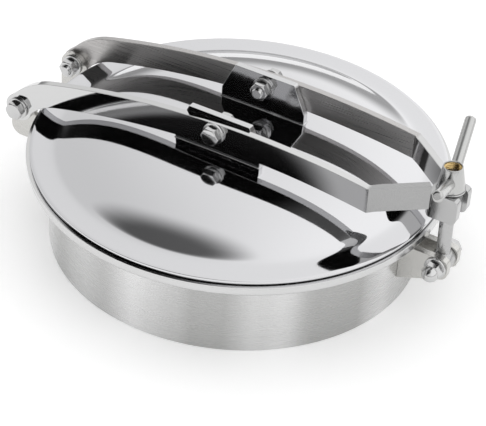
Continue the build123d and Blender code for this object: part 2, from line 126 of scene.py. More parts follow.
# Painted reflection: the bands shift the base colour between a darker and a lighter grey
painted_reflection_tint = add_node(tree, "ShaderNodeValToRGB", {"Fac": painted_reflection_bands.outputs["Fac"]})
painted_reflection_tint.color_ramp.elements[0].position = 0.36
painted_reflection_tint.color_ramp.elements[1].position = 0.66
painted_reflection_tint.color_ramp.elements[0].color = linear_colour("b2b2b1")
painted_reflection_tint.color_ramp.elements[1].color = linear_colour("e4e4e4")
tree.links.new(painted_reflection_tint.outputs["Color"], shader.inputs["Base Color"])
satin = add_node(
    tree,
    "ShaderNodeMapRange",
    {"Value": lines.outputs["Fac"], **NOISE_SPAN, "To Min": 0.22, "To Max": 0.34},
)
tree.links.new(satin.outputs["Result"], shader.inputs["Roughness"])
relief = add_node(
    tree,
    "ShaderNodeBump",
    {"Height": lines.outputs["Fac"], "Strength": 0.14, "Distance": 0.0002},
)
tree.links.new(relief.outputs["Normal"], shader.inputs["Normal"])
dress("neck_shell", brushed_304)


# ---------------------------------------------------------------- rim ring
# The ring is turned from 304 plate and butt-welded to the neck. Its edge and its beaded band
# are polished bright, so they mirror the floor with a hair of turning lines.

# Patches about 33 mm across, where the polishing wheel pressed more or less
POLISHING_PATCHES_PER_METRE = 30.0


def bright_steel(name, colour, smooth, dull, grain_size, relief_strength):
    """Bright metal: a fine even grain in its roughness and relief, grain_size in metres. The
    grain is drawn a few times coarser than the real tool marks, which wouldn't show."""
    finish, tree, shader, place = start_finish(name, 1.0)
    grain = add_node(
        tree, "ShaderNodeTexNoise", {"Vector": place, "Scale": 1 / grain_size, "Detail": 2.0}
    )
    broad = add_node(
        tree,
        "ShaderNodeTexNoise",
        {"Vector": place, "Scale": POLISHING_PATCHES_PER_METRE, "Detail": 2.0},
    )
    both = add_node(
        tree,
        "ShaderNodeMath",
        {0: grain.outputs["Fac"], 1: broad.outputs["Fac"]},
        operation="ADD",
    )
    mean = add_node(tree, "ShaderNodeMath", {0: both.outputs[0], 1: 0.5}, operation="MULTIPLY")
    polish = add_node(
        tree,
        "ShaderNodeMapRange",
        {"Value": mean.outputs[0], **NOISE_SPAN, "To Min": smooth, "To Max": dull},
    )
    tree.links.new(polish.outputs["Result"], shader.inputs["Roughness"])
    relief = add_node(
        tree,
        "ShaderNodeBump",
        {"Height": grain.outputs["Fac"], "Strength": relief_strength, "Distance": 0.0001},
    )
    tree.links.new(relief.outputs["Normal"], shader.inputs["Normal"])
    shader.inputs["Base Color"].default_value = linear_colour(colour)
    return finish


# Turned and polished plate is a bright mirror, softened by tool marks 2 mm apart
polished_ring = bright_steel(
    "polished_304_stainless_ring",
    "cfcfcf",
    smooth=0.1,
    dull=0.2,
    grain_size=0.002,
    relief_strength=0.05,
)
dress("rim_ring", polished_ring)


# ---------------------------------------------------------------- gasket
# A ring of black EPDM cord, 10 by 4.9 mm in section, bedded in the rim ring's groove. It is
# moulded matt, and stands just clear of the lid until the hand nut is tightened.

# Specks of bloom 2.5 mm across. Real ones are finer and wouldn't show
BLOOM_SPECKS_PER_METRE = 400.0

# Moulded EPDM is a soft matt black, with the faint grey bloom that such rubber has
moulded_epdm, tree, shader, place = start_finish("moulded_black_epdm", 0.0)
bloom = add_node(
    tree,
    "ShaderNodeTexNoise",
    {"Vector": place, "Scale": BLOOM_SPECKS_PER_METRE, "Detail": 3.0},
)
shade = add_node(tree, "ShaderNodeValToRGB", {"Fac": bloom.outputs["Fac"]})
shade.color_ramp.elements[0].color = linear_colour("141414")
shade.color_ramp.elements[1].color = linear_colour("242424")
tree.links.new(shade.outputs["Color"], shader.inputs["Base Color"])
matt = add_node(
    tree,
    "ShaderNodeMapRange",
    {"Value": bloom.outputs["Fac"], **NOISE_SPAN, "To Min": 0.5, "To Max": 0.75},
)
tree.links.new(matt.outputs["Result"], shader.inputs["Roughness"])
dress("gasket", moulded_epdm)


# ---------------------------------------------------------------- lid
# The lid is pressed from one disc of 3.4 mm 304 sheet and polished to a mirror. Its dome is
# nearly flat on top and falls faster outwards, to a tight knuckle at the flat rim.
LID_RADIUS = 0.220
LID_SHEET = 0.0034
LID_RIM_TOP = 0.1046
LID_RIM_FOOT = LID_RIM_TOP - LID_SHEET
DOME_TOP = 0.131
DOME_RADIUS = 0.193
DOME_FLATNESS = 3.5
KNUCKLE = 0.002
# Rows of points: few on the dome, a close band over the knuckle, few on the rim
DOME_ROWS = np.linspace(0.0, 0.18, 61)
KNUCKLE_ROWS = np.linspace(0.181, 0.205, 49)
RIM_ROWS = np.linspace(0.207, LID_RADIUS - 0.0008, 5)
MERGE_DISTANCE = 2e-6
SHARP_ANGLE = math.radians(35)
HAZE_PATCHES_PER_METRE = 14.0
WAVES_PER_METRE = 11.0

# A polished pressing is a clear mirror, with a trace of haze and slow waves about 90 mm long
mirror_lid, tree, shader, place = start_finish("mirror_polished_304_stainless", 1.0)
shader.inputs["Base Color"].default_value = linear_colour("d2d2d4")
haze = add_node(
    tree,
    "ShaderNodeTexNoise",
    {"Vector": place, "Scale": HAZE_PATCHES_PER_METRE, "Detail": 3.0},
)
mirror = add_node(
    tree,
    "ShaderNodeMapRange",
    {"Value": haze.outputs["Fac"], **NOISE_SPAN, "To Min": 0.035, "To Max": 0.07},
)
tree.links.new(mirror.outputs["Result"], shader.inputs["Roughness"])
waves = add_node(
    tree, "ShaderNodeTexNoise", {"Vector": place, "Scale": WAVES_PER_METRE, "Detail": 1.0}
)
relief = add_node(
    tree,
    "ShaderNodeBump",
    {"Height": waves.outputs["Fac"], "Strength": 0.10, "Distance": 0.002},
)
tree.links.new(relief.outputs["Normal"], shader.inputs["Normal"])


def surface_from_grid(name, grid, loop_rows, finish):
    """A mesh from a grid of points, closed along each row, and from last row to first if asked.
    Points that coincide, as at a pole, become one, and the faces are turned outwards."""
    rows, steps = grid.shape[:2]
    row, step = np.meshgrid(
        np.arange(rows if loop_rows else rows - 1), np.arange(steps), indexing="ij"
    )
    here, there = row * steps, (row + 1) % rows * steps
    next_step = (step + 1) % steps
    corners = (here + step, here + next_step, there + next_step, there + step)
    faces = np.stack(corners, axis=-1).reshape(-1, 4)
    mesh = bpy.data.meshes.new(name)
    mesh.from_pydata(grid.reshape(-1, 3).tolist(), [], faces.tolist())
    shape = bmesh.new()
    shape.from_mesh(mesh)
    bmesh.ops.remove_doubles(shape, verts=shape.verts, dist=MERGE_DISTANCE)
    bmesh.ops.recalc_face_normals(shape, faces=shape.faces)
    shape.to_mesh(mesh)
    shape.free()
    mesh.shade_smooth()
    mesh.set_sharp_from_angle(angle=SHARP_ANGLE)
    mesh.materials.append(finish)
    piece = bpy.data.objects.new(name, mesh)
    bpy.context.scene.collection.objects.link(piece)
    return piece


def spun(name, rows, base, axis, finish, steps=96, loop=False, reshape=None):
    """Rows of (radius, height) spun about an axis. Point = base + height * axis +
    radius * (cos t * u + sin t * w), where reshape(radius, height, t) may change the radius."""
    axis = np.array(axis, float) / np.linalg.norm(axis)
    u = np.cross(axis, (1.0, 0.0, 0.0) if abs(axis[0]) < 0.5 else (0.0, 1.0, 0.0))
    u /= np.linalg.norm(u)
    w = np.cross(axis, u)
    t = np.arange(steps)[None, :] * math.tau / steps
    rows = np.array(rows, float)
    radius = np.repeat(rows[:, :1], steps, axis=1)
    height = np.repeat(rows[:, 1:2], steps, axis=1)
    if reshape is not None:
        radius = reshape(radius, height, t)
    grid = (
        np.array(base, float)
        + height[..., None] * axis
        + radius[..., None] * (np.cos(t)[..., None] * u + np.sin(t)[..., None] * w)
    )
    return surface_from_grid(name, grid, loop, finish)


def stand_for(piece, node, body):
    """The piece takes a CAD node's place and moves with its body."""
    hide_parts(node)
    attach(piece, body)


def lid_height(radius):
    """The top face's height: rim top + (q + root of (q squared + knuckle squared)) / 2, where
    q = rise * (1 - (radius / dome radius) to the power of flatness)."""
    q = (DOME_TOP - LID_RIM_TOP) * (1 - (radius / DOME_RADIUS) ** DOME_FLATNESS)
    return LID_RIM_TOP + (q + np.sqrt(q * q + KNUCKLE * KNUCKLE)) / 2


along_top = np.concatenate((DOME_ROWS, KNUCKLE_ROWS, RIM_ROWS))
lid_top = np.column_stack((along_top, lid_height(along_top)))
lid_edge = (
    (LID_RADIUS - 0.0002, LID_RIM_TOP - 0.0002),
    (LID_RADIUS, LID_RIM_TOP - 0.0007),
    (LID_RADIUS, LID_RIM_FOOT + 0.0004),
    (LID_RADIUS - 0.0004, LID_RIM_FOOT),
)
lid_underside = lid_top[-2::-1] - (0.0, LID_SHEET)
lid_profile = np.vstack((lid_top, lid_edge, lid_underside))
pressed = spun("lid_pressed", lid_profile, (0, 0, 0), (0, 0, 1), mirror_lid, steps=360)
stand_for(pressed, "lid", "lid")


# ---------------------------------------------------------------- lid lugs
# Two plates cut from 304 flat, ground to half an octagon and polished, stand on the dome. A
# fillet weld, dressed smooth, runs round each foot and follows the dome's curve.
COPY_MERGE_DISTANCE = 1e-6
SAME_PLANE_ANGLE = math.radians(0.6)
EDGE_ANGLE = math.radians(32)
LUG_EDGE = 0.0006
LUG_HALF_LENGTH = 0.0495
LUG_INNER_Y = 0.0431
LUG_OUTER_Y = 0.0507
WELD_RADIUS = 0.0014
WELD_SPACING = 0.0012
WELD_SIDES = 12
WELD_RIPPLE = 0.06
WELD_RIPPLE_STEP = 1.9

# Ground and polished bar is nearly a mirror, with wheel marks 3 mm apart just seen
polished_bar = bright_steel(
    "polished_304_stainless_flat_bar",
    "cfcfd0",
    smooth=0.05,
    dull=0.1,
    grain_size=0.003,
    relief_strength=0.03,
)


def ease_edges(node, body, finish, width):
    """A copy of a CAD node with its flat faces joined up and its sharp edges rounded over, as
    a file leaves them, which draws a thin bright line along each."""
    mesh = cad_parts[node].data.copy()
    mesh.name = node + "_eased"
    piece = bpy.data.objects.new(mesh.name, mesh)
    bpy.context.scene.collection.objects.link(piece)
    shape = bmesh.new()
    shape.from_mesh(mesh)
    bmesh.ops.remove_doubles(shape, verts=shape.verts, dist=COPY_MERGE_DISTANCE)
    bmesh.ops.dissolve_limit(
        shape, angle_limit=SAME_PLANE_ANGLE, verts=shape.verts, edges=shape.edges
    )
    shape.to_mesh(mesh)
    shape.free()
    mesh.shade_smooth()
    if "custom_normal" in mesh.attributes:
        mesh.attributes.remove(mesh.attributes["custom_normal"])
    mesh.set_sharp_from_angle(angle=EDGE_ANGLE)
    mesh.materials.clear()
    mesh.materials.append(finish)
    rounding = piece.modifiers.new("rounding", "BEVEL")
    rounding.width = width
    rounding.segments = 3
    rounding.limit_method = "ANGLE"
    rounding.angle_limit = EDGE_ANGLE
    rounding.harden_normals = True
    rounding.use_clamp_overlap = True
    stand_for(piece, node, body)


def walk_round(corners, spacing):
    """Points about one spacing apart along the sides of a closed polygon. Point on a side =
    start + (end - start) * k / count."""
    corners = np.array(corners, float)
    sides = []
    for start, end in zip(corners, np.roll(corners, -1, axis=0)):
        count = max(1, round(np.linalg.norm(end - start) / spacing))
        sides.append(start + (end - start) * (np.arange(count) / count)[:, None])
    return np.concatenate(sides)


def weld_bead(name, path, finish, body):
    """A round bead along a closed path, with the faint ripple of welding. Point = path +
    radius * (1 + ripple * sin(k * step)) * (cos a * side + sin a * up), side square to path."""
    forward = np.roll(path, -1, axis=0) - np.roll(path, 1, axis=0)
    forward /= np.linalg.norm(forward, axis=1)[:, None]
    side = np.cross(forward, (0.0, 0.0, 1.0))
    side /= np.linalg.norm(side, axis=1)[:, None]
    up = np.cross(side, forward)
    a = (np.arange(WELD_SIDES) * math.tau / WELD_SIDES)[None, :, None]
    ripple = 1 + WELD_RIPPLE * np.sin(np.arange(len(path)) * WELD_RIPPLE_STEP)
    round_it = np.cos(a) * side[:, None, :] + np.sin(a) * up[:, None, :]
    grid = path[:, None, :] + WELD_RADIUS * ripple[:, None, None] * round_it
    piece = surface_from_grid(name, grid, True, finish)
    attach(piece, body)


for node in ("lid_lug_front", "lid_lug_back"):
    ease_edges(node, "lid", polished_bar, LUG_EDGE)

for side_name, side in (("front", -1), ("back", 1)):
    foot_corners = (
        (-LUG_HALF_LENGTH, side * LUG_INNER_Y),
        (LUG_HALF_LENGTH, side * LUG_INNER_Y),
        (LUG_HALF_LENGTH, side * LUG_OUTER_Y),
        (-LUG_HALF_LENGTH, side * LUG_OUTER_Y),
    )
    outline = walk_round(foot_corners, WELD_SPACING)
    foot = np.column_stack((outline, lid_height(np.linalg.norm(outline, axis=1))))
    weld_bead("lid_lug_weld_" + side_name, foot, polished_bar, "lid")


# ---------------------------------------------------------------- lid bolts
# M12 hexagon bolts in A2 stainless carry the lid from the arms. Each has a turned chamfer on
# its head, plain washers, and a nut inside the lug with the thread's end past it.
LID_BOLT_Z = 0.159
LID_BOLT_END = 0.0270
LID_NUT_LOW, LID_NUT_HIGH = 0.0306, 0.0406
HEX_APOTHEM = 0.009
HEX_CORNER = HEX_APOTHEM / math.cos(math.pi / 6)
HEX_CHAMFER_RADIUS = HEX_APOTHEM * 0.94
HEX_CHAMFER_SLOPE = math.tan(math.radians(30))
HEAD_HEIGHT = 0.008
HEAD_SEAT = 0.0618
HEAD_LAP = 0.001
BOLT_RADIUS = 0.006
PLAIN_SHANK = 0.012
END_CHAMFER = 0.0009
THREAD_PITCH = 0.00175
THREAD_DEPTH = 0.0009
ROWS_PER_PITCH = 8
NUT_COUNTERSINK = 0.0008
WASHER_RADIUS = 0.012
WASHER_THICKNESS = 0.0025
WASHER_EASE = 0.0005
# A rounded edge's middle point lies this share of the rounding in from both faces
EDGE_MIDDLE = 0.3
OUTER_WASHER = 0.0593
# A tenth of a millimetre, for rounded corners and to keep neighbouring rows of points apart
HAIR = 0.0001

# Cold-formed A2 is bright but not a mirror, with a fine grain 2 mm across
bolt_steel = bright_steel(
    "bright_a2_stainless_fastener",
    "c6c6c6",
    smooth=0.1,
    dull=0.2,
    grain_size=0.002,
    relief_strength=0.04,
)


def hexagon(radius, height, t):
    """Cuts a radius back to a hexagon: apothem / cos(angle from the nearest flat's middle)."""
    flat = HEX_APOTHEM / np.cos((t + math.pi / 6) % (math.pi / 3) - math.pi / 6)
    return np.minimum(radius, flat)


def chamfered(low, high, chamfer_low, chamfer_high):
    """Rows up a hexagon's outside, with a 30 degree turned chamfer at the ends that ask for
    it. Along a chamfer, radius and height both change in equal steps."""
    width = HEX_CORNER - HEX_CHAMFER_RADIUS
    drop = width * HEX_CHAMFER_SLOPE
    part = np.linspace(0, 1, 7)
    outwards = np.column_stack((HEX_CHAMFER_RADIUS + width * part, low + drop * part))
    inwards = np.column_stack((HEX_CORNER - width * part, high - drop + drop * part))
    return np.vstack(
        (
            outwards if chamfer_low else [(HEX_CORNER, low)],
            inwards if chamfer_high else [(HEX_CORNER, high)],
        )
    )


def threaded(start, end, pitch, crest):
    """Returns a reshape for spun. Radius = crest - depth * (0.5 + 0.5 * cos(tau * height /
    pitch - t)) between start and end, a rounded V that climbs one pitch a turn."""

    def reshape(radius, height, t):
        wave = 0.5 + 0.5 * np.cos(math.tau * (height / pitch) - t)
        inside = (height > start) & (height < end) & (radius > crest - THREAD_DEPTH)
        return np.where(inside, crest - THREAD_DEPTH * wave, radius)

    return reshape


def join_pieces(name, pieces):
    """Several meshes as one piece, each kept as its own closed skin."""
    shape = bmesh.new()
    for piece in pieces:
        shape.from_mesh(piece.data)
    mesh = bpy.data.meshes.new(name)
    shape.to_mesh(mesh)
    shape.free()
    mesh.materials.append(pieces[0].data.materials[0])
    mesh.set_sharp_from_angle(angle=SHARP_ANGLE)
    for piece in pieces:
        bpy.data.objects.remove(piece)
    whole = bpy.data.objects.new(name, mesh)
    bpy.context.scene.collection.objects.link(whole)
    return whole


def hexagon_bolt(node, body, x, z, side, thread_end):
    """A bolt along Y. Heights run outwards from the middle plane to the head's face."""
    chamfer_top = thread_end + END_CHAMFER
    thread_top = HEAD_SEAT - PLAIN_SHANK
    count = round((HEAD_SEAT - thread_end) / THREAD_PITCH * ROWS_PER_PITCH)
    thread = np.linspace(chamfer_top + 2 * HAIR, thread_top, count)
    shank = np.vstack(
        (
            (0.0, thread_end),
            (BOLT_RADIUS - END_CHAMFER - 2 * HAIR, thread_end),
            (BOLT_RADIUS - 2 * HAIR, chamfer_top),
            np.column_stack((np.full(count, BOLT_RADIUS - HAIR), thread)),
            (BOLT_RADIUS, thread_top + 5 * HAIR),
            (BOLT_RADIUS, HEAD_SEAT + HEAD_LAP),
            (0.0, HEAD_SEAT + HEAD_LAP),
        )
    )
    cut_thread = threaded(chamfer_top + HAIR, thread_top + HAIR, THREAD_PITCH, BOLT_RADIUS)
    base, axis = (x, 0, z), (0, side, 0)
    stem = spun("stem", shank, base, axis, bolt_steel, steps=48, reshape=cut_thread)
    head_top = HEAD_SEAT + HEAD_HEIGHT
    head = np.vstack(
        ((0.0, HEAD_SEAT), chamfered(HEAD_SEAT, head_top, False, True), (0.0, head_top))
    )
    cap = spun("cap", head, base, axis, bolt_steel, reshape=hexagon)
    stand_for(join_pieces(node + "_detail", [stem, cap]), node, body)


def hexagon_nut(x, z, side, low, high):
    """A nut along Y with its bore countersunk at both faces."""
    bore = BOLT_RADIUS - 2 * HAIR
    rows = np.vstack(
        (
            (bore, low + NUT_COUNTERSINK),
            (bore + NUT_COUNTERSINK, low),
            chamfered(low, high, True, True),
            (bore + NUT_COUNTERSINK, high),
            (bore, high - NUT_COUNTERSINK),
        )
    )
    return spun("nut", rows, (x, 0, z), (0, side, 0), bolt_steel, loop=True, reshape=hexagon)


def plain_washer(x, z, side, low):
    """A punched washer along Y: flat faces, with its outer edges rounded by tumbling."""
    high = low + WASHER_THICKNESS
    face = WASHER_RADIUS - WASHER_EASE
    inset = WASHER_EASE * EDGE_MIDDLE
    turn = WASHER_RADIUS - inset
    rows = (
        (BOLT_RADIUS, low),
        (face, low),
        (turn, low + inset),
        (WASHER_RADIUS, low + WASHER_EASE),
        (WASHER_RADIUS, high - WASHER_EASE),
        (turn, high - inset),
        (face, high),
        (BOLT_RADIUS, high),
    )
    return spun("washer", rows, (x, 0, z), (0, side, 0), bolt_steel, loop=True)


for node, side in (("lid_bolt_front", -1), ("lid_bolt_back", 1)):
    hexagon_bolt(node, "lid", 0.0, LID_BOLT_Z, side, LID_BOLT_END)
washers = [
    plain_washer(0.0, LID_BOLT_Z, side, low)
    for side in (-1, 1)
    for low in (LID_NUT_HIGH, OUTER_WASHER)
]
stand_for(join_pieces("lid_washers_detail", washers), "lid_washers", "lid")
nuts = [hexagon_nut(0.0, LID_BOLT_Z, side, LID_NUT_LOW, LID_NUT_HIGH) for side in (-1, 1)]
stand_for(join_pieces("lid_nuts_detail", nuts), "lid_nuts", "lid")


# ---------------------------------------------------------------- arms
# The arms are 28 by 8 mm 304 flat bar, bent on edge and then bent in at the tail. The front
# one is polished up to its tail, and the back one is left satin from the belt up to there.
ARM_EDGE = 0.0008
# Belt lines 0.6 mm apart and 80 mm long, along the bar. Real ones are finer and wouldn't show
BELT_LINES_PER_METRE = 1600.0
BELT_LENGTHS_PER_METRE = 12.0
BELT_RELIEF = 0.25


def part_polished(name, polished_colour, satin_colour, polished_at, satin_at):
    """Bright steel on one side of a place along X and belt-ground satin on the other. The
    change runs between polished_at and satin_at."""
    finish, tree, shader, place = start_finish(name, 1.0)
    along = add_node(tree, "ShaderNodeSeparateXYZ", {"Vector": place})
    satin = add_node(
        tree,
        "ShaderNodeMapRange",
        {"Value": along.outputs["X"], "From Min": polished_at, "From Max": satin_at},
    ).outputs["Result"]
    stretch = add_node(
        tree,
        "ShaderNodeMapping",
        {
            "Vector": place,
            "Scale": (BELT_LENGTHS_PER_METRE, BELT_LINES_PER_METRE, BELT_LINES_PER_METRE),
        },
    )
    lines = add_node(
        tree,
        "ShaderNodeTexNoise",
        {"Vector": stretch.outputs["Vector"], "Scale": 1.0, "Detail": 2.0},
    )
    dull = add_node(
        tree,
        "ShaderNodeMapRange",
        {"Value": lines.outputs["Fac"], **NOISE_SPAN, "To Min": 0.24, "To Max": 0.38},
    )
    bright = add_node(
        tree,
        "ShaderNodeMapRange",
        {"Value": lines.outputs["Fac"], **NOISE_SPAN, "To Min": 0.045, "To Max": 0.07},
    )
    polish = add_node(
        tree,
        "ShaderNodeMix",
        {"Factor": satin, "A": bright.outputs["Result"], "B": dull.outputs["Result"]},
        data_type="FLOAT",
    )
    tree.links.new(polish.outputs["Result"], shader.inputs["Roughness"])
    depth = add_node(tree, "ShaderNodeMath", {0: satin, 1: BELT_RELIEF}, operation="MULTIPLY")
    relief = add_node(
        tree,
        "ShaderNodeBump",
        {"Height": lines.outputs["Fac"], "Strength": depth.outputs[0], "Distance": 0.0001},
    )
    tree.links.new(relief.outputs["Normal"], shader.inputs["Normal"])
    tone = add_node(
        tree,
        "ShaderNodeMix",
        {
            "Factor": satin,
            "A": linear_colour(polished_colour),
            "B": linear_colour(satin_colour),
        },
        data_type="RGBA",
    )
    tree.links.new(tone.outputs["Result"], shader.inputs["Base Color"])
    return finish


# Polished bar mirrors the lid, and its satin tail is a flat mid grey
arm_front_steel = part_polished(
    "part_polished_304_stainless_bar", "cdcdcd", "a6a6a6", polished_at=0.172, satin_at=0.176
)
# Belt-ground bar is a soft grey with lines along it, and its tail is polished
arm_back_steel = part_polished(
    "belt_ground_304_stainless_bar", "cdcdcd", "bcbab9", polished_at=0.178, satin_at=0.174
)
ease_edges("arm_front", "arms", arm_front_steel, ARM_EDGE)
ease_edges("arm_back", "arms", arm_back_steel, ARM_EDGE)


# ---------------------------------------------------------------- fork
# The fork is cut from a block of 304, with its slot milled for the swing bolt and its corners
# rounded on the belt. It is welded across the arms' ends.
FORK_EDGE = 0.0014

# A belt-rounded block is a soft bright grey, with its corners brightest
polished_block = bright_steel(
    "belt_rounded_304_stainless_block",
    "b8b8b8",
    smooth=0.14,
    dull=0.24,
    grain_size=0.002,
    relief_strength=0.05,
)
ease_edges("clamp_fork", "arms", polished_block, FORK_EDGE)


# ---------------------------------------------------------------- hinge lugs
# Two 6 mm plates of 304, cut to the neck's curve and welded to it under the ring. They carry
# the hinge bolts.
HINGE_LUG_EDGE = 0.0007

# Satin plate is a pale grey that blurs what it mirrors, with a grain 1.5 mm across
satin_plate = bright_steel(
    "satin_304_stainless_plate",
    "c7c6c3",
    smooth=0.2,
    dull=0.32,
    grain_size=0.0015,
    relief_strength=0.06,
)
for node in ("hinge_lug_front", "hinge_lug_back"):
    ease_edges(node, "neck", satin_plate, HINGE_LUG_EDGE)


# ---------------------------------------------------------------- hinge bolts
# The same M12 bolts, washers and nuts as the lid's, in the same bright A2 stainless. Each goes
# through an arm's eye and its lug.
HINGE_X, HINGE_Z = -0.242, 0.0965
HINGE_BOLT_END = 0.0286
HINGE_NUT_LOW, HINGE_NUT_HIGH = 0.0322, 0.0422

for node, side in (("hinge_bolt_front", -1), ("hinge_bolt_back", 1)):
    hexagon_bolt(node, "neck", HINGE_X, HINGE_Z, side, HINGE_BOLT_END)
washers = [
    plain_washer(HINGE_X, HINGE_Z, side, low)
    for side in (-1, 1)
    for low in (HINGE_NUT_HIGH, OUTER_WASHER)
]
hinge_washers = join_pieces("hinge_washers_detail", washers)
stand_for(hinge_washers, "hinge_washers", "neck")
nuts = [
    hexagon_nut(HINGE_X, HINGE_Z, side, HINGE_NUT_LOW, HINGE_NUT_HIGH) for side in (-1, 1)
]
stand_for(join_pieces("hinge_nuts_detail", nuts), "hinge_nuts", "neck")


# ---------------------------------------------------------------- clamp lugs
# Two 8 mm plates of satin 304, tapered along their lower edge and welded upright to the neck.
# They stand out from it and hold the swing bolt's pin between them.
CLAMP_LUG_EDGE = 0.0008

for node in ("clamp_lug_front", "clamp_lug_back"):
    ease_edges(node, "neck", satin_plate, CLAMP_LUG_EDGE)


# ---------------------------------------------------------------- clamp pin
# A headed M12 pin in A2 stainless, with a washer under its head and another under a domed cap
# nut, which is turned bright and closes the thread off.
PIN = np.array((0.2403, 0.0, 0.065))
PIN_START, PIN_END = -0.0185, 0.0285
LUG_FACE = 0.0165
PIN_SEAT = LUG_FACE + WASHER_THICKNESS
CAP_HEX_HEIGHT = 0.010
CAP_DOME_RADIUS = 0.0086
CAP_DOME_HEIGHT = 0.009

pin_rows = ((0.0, PIN_START), (BOLT_RADIUS, PIN_START), (BOLT_RADIUS, PIN_END), (0.0, PIN_END))
pin_stem = spun("stem", pin_rows, PIN, (0, -1, 0), bolt_steel, steps=64)
head_top = PIN_SEAT + HEAD_HEIGHT
head_rows = np.vstack(
    ((0.0, PIN_SEAT), chamfered(PIN_SEAT, head_top, False, True), (0.0, head_top))
)
pin_head = spun("cap", head_rows, PIN, (0, 1, 0), bolt_steel, reshape=hexagon)
clamp_pin = join_pieces("clamp_pin_detail", [pin_stem, pin_head])
stand_for(clamp_pin, "clamp_pin", "neck")

washers = [plain_washer(PIN[0], PIN[2], side, LUG_FACE) for side in (-1, 1)]
clamp_washers = join_pieces("clamp_washers_detail", washers)
stand_for(clamp_washers, "clamp_washers", "neck")

# The cap's dome is a quarter ellipse: radius * cos(a) across, height * sin(a) up
a = np.linspace(0, math.pi / 2, 13)
dome_base = PIN_SEAT + CAP_HEX_HEIGHT
cap_dome = (CAP_DOME_RADIUS * np.cos(a), dome_base + CAP_DOME_HEIGHT * np.sin(a))
cap_rows = np.vstack(
    ((0.0, PIN_SEAT), chamfered(PIN_SEAT, dome_base, True, True), np.column_stack(cap_dome))
)
cap = spun("cap_nut_detail", cap_rows, PIN, (0, -1, 0), bolt_steel, reshape=hexagon)
stand_for(cap, "cap_nut", "neck")


# ---------------------------------------------------------------- swing bolt
# A forged M16 eye bolt in 304. Its eye is faced flat to fit between the lugs, and its thread
# is rolled on the upper part only. A turned thrust washer slides on it under the hand nut.
LEAN = math.radians(1.7)
BOLT_AXIS = np.array((-math.sin(LEAN), 0.0, math.cos(LEAN)))
EYE_HALF_WIDTH = 0.0082
EYE_RADIUS = 0.012
EYE_BORE = 0.00606
EYE_EASE = 0.0012
SHANK_RADIUS = 0.00735
SHANK_START = 0.009
BOLT_LENGTH = 0.1083
SWING_PITCH = 0.002
SWING_THREAD_START = 0.076
THRUST_BORE = 0.00745
THRUST_RADIUS = 0.015
THRUST_EASE = 0.0004
THRUST_LOW, THRUST_HIGH = 0.0878, 0.0898

# Forged and turned steel is a plain soft grey
forged_steel = bright_steel(
    "turned_304_stainless_eye_bolt",
    "b4b4b4",
    smooth=0.2,
    dull=0.32,
    grain_size=0.002,
    relief_strength=0.06,
)
eye_inset = EDGE_MIDDLE * EYE_EASE
eye_face, eye_turn = EYE_RADIUS - EYE_EASE, EYE_RADIUS - eye_inset
eye_rows = (
    (EYE_BORE, -EYE_HALF_WIDTH),
    (eye_face, -EYE_HALF_WIDTH),
    (eye_turn, -EYE_HALF_WIDTH + eye_inset),
    (EYE_RADIUS, -EYE_HALF_WIDTH + EYE_EASE),
    (EYE_RADIUS, EYE_HALF_WIDTH - EYE_EASE),
    (eye_turn, EYE_HALF_WIDTH - eye_inset),
    (eye_face, EYE_HALF_WIDTH),
    (EYE_BORE, EYE_HALF_WIDTH),
)
eye = spun("eye", eye_rows, PIN, (0, 1, 0), forged_steel, loop=True)

count = round((BOLT_LENGTH - SWING_THREAD_START) / SWING_PITCH * ROWS_PER_PITCH)
thread = np.linspace(SWING_THREAD_START, BOLT_LENGTH - 12 * HAIR, count)
shank_rows = np.vstack(
    (
        (0.0, SHANK_START),
        (SHANK_RADIUS, SHANK_START),
        (SHANK_RADIUS, SWING_THREAD_START - 2 * HAIR),
        np.column_stack((np.full(count, SHANK_RADIUS - HAIR), thread)),
        (SHANK_RADIUS - 3 * HAIR, BOLT_LENGTH - 10 * HAIR),
        (SHANK_RADIUS - 13 * HAIR, BOLT_LENGTH),
        (0.0, BOLT_LENGTH),
    )
)
cut_thread = threaded(SWING_THREAD_START, BOLT_LENGTH - 11 * HAIR, SWING_PITCH, SHANK_RADIUS)
shank = spun("shank", shank_rows, PIN, BOLT_AXIS, forged_steel, steps=72, reshape=cut_thread)
swing_bolt = join_pieces("swing_bolt_detail", [eye, shank])
stand_for(swing_bolt, "swing_bolt", "swing_bolt")

thrust_rows = (
    (THRUST_BORE, THRUST_LOW),
    (THRUST_RADIUS - THRUST_EASE, THRUST_LOW),
    (THRUST_RADIUS, THRUST_LOW + THRUST_EASE),
    (THRUST_RADIUS, THRUST_HIGH - THRUST_EASE),
    (THRUST_RADIUS - THRUST_EASE, THRUST_HIGH),
    (THRUST_BORE, THRUST_HIGH),
)
thrust = spun("thrust_washer_detail", thrust_rows, PIN, BOLT_AXIS, forged_steel, loop=True)
stand_for(thrust, "thrust_washer", "washer")


# ---------------------------------------------------------------- hand nut
# A tapered boss cast in 304 and polished satin, with two round bars welded on as handles. A
# bush of turned brass is pressed into it, because steel threads would seize on the steel bolt.
NUT_LOW, NUT_HIGH = 0.0901, 0.1153
BUSH_RADIUS = 0.0088
BUSH_RECESS = 0.0016
BUSH_LIP = 0.0084
BUSH_LEAD_IN = 0.0004
# The thread is cut both ways from this bore, down to its crest and out to its root
BUSH_BORE = 0.0080
BUSH_CREST = 0.00745
BOSS_FOOT, BOSS_TOP = 0.0146, 0.0101

# Cast and polished steel is satin bright, with a soft grain 2 mm across
cast_satin = bright_steel(
    "satin_polished_cast_304",
    "bcbcbb",
    smooth=0.16,
    dull=0.28,
    grain_size=0.002,
    relief_strength=0.05,
)
